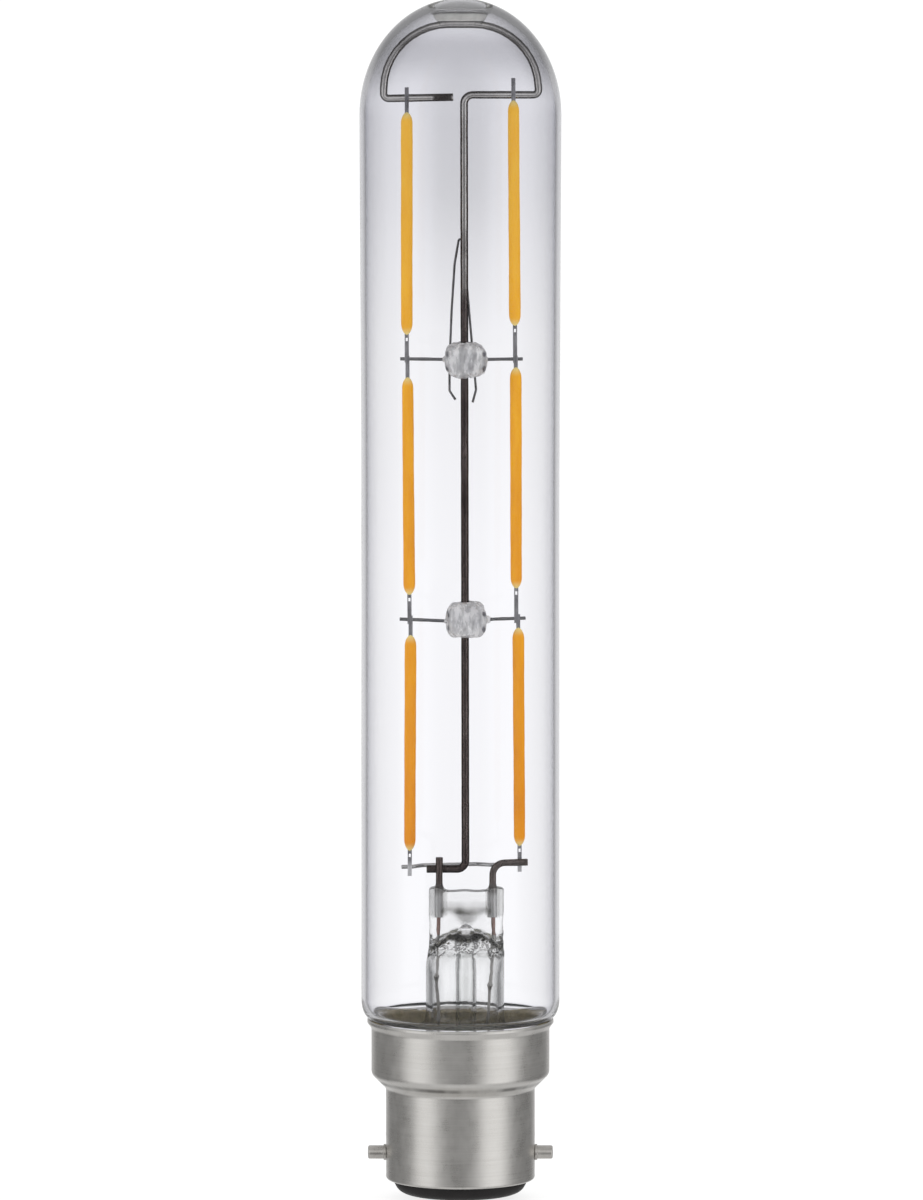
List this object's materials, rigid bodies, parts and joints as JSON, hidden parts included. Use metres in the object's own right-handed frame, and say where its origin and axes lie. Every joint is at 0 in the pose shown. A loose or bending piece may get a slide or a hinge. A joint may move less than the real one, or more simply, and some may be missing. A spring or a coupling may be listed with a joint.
{
  "type": "tubular filament light bulb",
  "caption": "Clear glass tubular light bulb with round dome, filament frame on a bent rod, glass stem and a two-pin bayonet cap with skirt.",
  "frame": {"origin": "on the bulb's axis, at the plane of the two contacts at the foot of the cap", "axes": "+Z along the axis from the contacts to the dome, +X along the bayonet pins, -Y towards the front contact"},
  "size_m": [0.0296, 0.0296, 0.1775],
  "materials": {
    "clear_glass": "clear, fire polished",
    "stem_glass": "clear lead-free stem glass",
    "bead_glass": "clear with seeds",
    "nickel_cap": "satin nickel plate, turned lines",
    "pin_metal": "nickel plated brass",
    "black_insulator": "moulded, matt",
    "contact_brass": "plain",
    "solder": "cast, dull",
    "cement": "cured, rough",
    "dark_steel_wire": "drawn nickel-iron wire",
    "bright_wire": "drawn bright",
    "copper_red": "borated copper sheath",
    "tinned_copper": "tinned",
    "phosphor_coat": "silicone with yellow phosphor",
    "ceramic_strip": "fired",
    "tab_steel": "rolled strip",
    "chip_blue": "polished",
    "board_laminate": "glass fibre laminate",
    "black_epoxy": "moulded",
    "capacitor_can": "sleeved can",
    "ferrite": "sintered, wound",
    "resistor_green": "dipped"
  },
  "bodies": {
    "root": {"basing_cement": "cement", "bayonet_cap": "nickel_cap", "bayonet_pin_left": "pin_metal", "bayonet_pin_right": "pin_metal", "bead_lower": "bead_glass", "bead_upper": "bead_glass", "bridge_rectifier": "black_epoxy", "capacitor": "capacitor_can", "chips_lower_left": "chip_blue", "chips_lower_right": "chip_blue", "chips_middle_left": "chip_blue", "chips_middle_right": "chip_blue", "chips_upper_left": "chip_blue", "chips_upper_right": "chip_blue", "coat_lower_left": "phosphor_coat", "coat_lower_right": "phosphor_coat", "coat_middle_left": "phosphor_coat", "coat_middle_right": "phosphor_coat", "coat_upper_left": "phosphor_coat", "coat_upper_right": "phosphor_coat", "contact_back": "contact_brass", "contact_front": "contact_brass", "cross_wire_lower_left": "bright_wire", "cross_wire_lower_right": "bright_wire", "cross_wire_upper_left": "bright_wire", "cross_wire_upper_right": "bright_wire", "driver_board": "board_laminate", "driver_chip": "black_epoxy", "dumet_left": "copper_red", "dumet_right": "copper_red", "exhaust_tube": "stem_glass", "flare_tube": "stem_glass", "fusible_resistor": "resistor_green", "glass_envelope": "clear_glass", "hairpin_wire": "bright_wire", "inductor": "ferrite", "inner_lead_left": "dark_steel_wire", "inner_lead_right": "dark_steel_wire", "insulator": "black_insulator", "jumper_wire": "bright_wire", "outer_lead_left": "tinned_copper", "outer_lead_right": "tinned_copper", "solder_back": "solder", "solder_front": "solder", "substrate_lower_left": "ceramic_strip", "substrate_lower_right": "ceramic_strip", "substrate_middle_left": "ceramic_strip", "substrate_middle_right": "ceramic_strip", "substrate_upper_left": "ceramic_strip", "substrate_upper_right": "ceramic_strip", "supply_wire_back": "tinned_copper", "supply_wire_front": "tinned_copper", "support_rod": "dark_steel_wire", "tabs_lower_left": "tab_steel", "tabs_lower_right": "tab_steel", "tabs_middle_left": "tab_steel", "tabs_middle_right": "tab_steel", "tabs_upper_left": "tab_steel", "tabs_upper_right": "tab_steel"}
  },
  "joints": []
}
